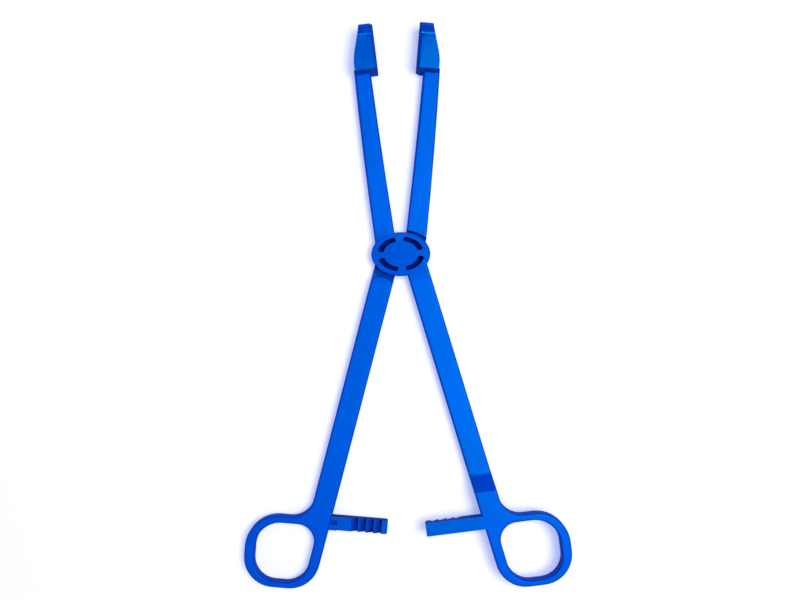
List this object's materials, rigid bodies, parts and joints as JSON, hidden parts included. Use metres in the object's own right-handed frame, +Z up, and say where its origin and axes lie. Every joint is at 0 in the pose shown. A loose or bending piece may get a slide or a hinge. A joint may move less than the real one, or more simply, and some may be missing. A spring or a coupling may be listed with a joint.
{
  "type": "sponge forceps",
  "caption": "Moulded plastic sponge forceps: two crossing halves that snap together at an oval hub, with serrated jaws, ratchet bars and finger rings.",
  "frame": {"origin": "on the pivot axis at the hub's underside, in the plane that the forceps lie on", "axes": "+Y along the line between the jaws towards their tips, +Z up away from the rest plane along the pivot axis, +X to the right with the rear half's arm"},
  "size_m": [0.1368, 0.2347, 0.0103],
  "materials": {
    "front_plastic": "fine moulded grain, satin",
    "rear_plastic": "fine moulded grain, satin"
  },
  "bodies": {
    "rear_half": {"rear_half": "rear_plastic"},
    "front_half": {"front_half": "front_plastic"}
  },
  "joints": [
    {"name": "pivot", "type": "hinge", "parent": "rear_half", "child": "front_half", "pos_m": [0, 0, 0], "axis": [0, 0, 1], "range_deg": [-12, 20.5]}
  ]
}
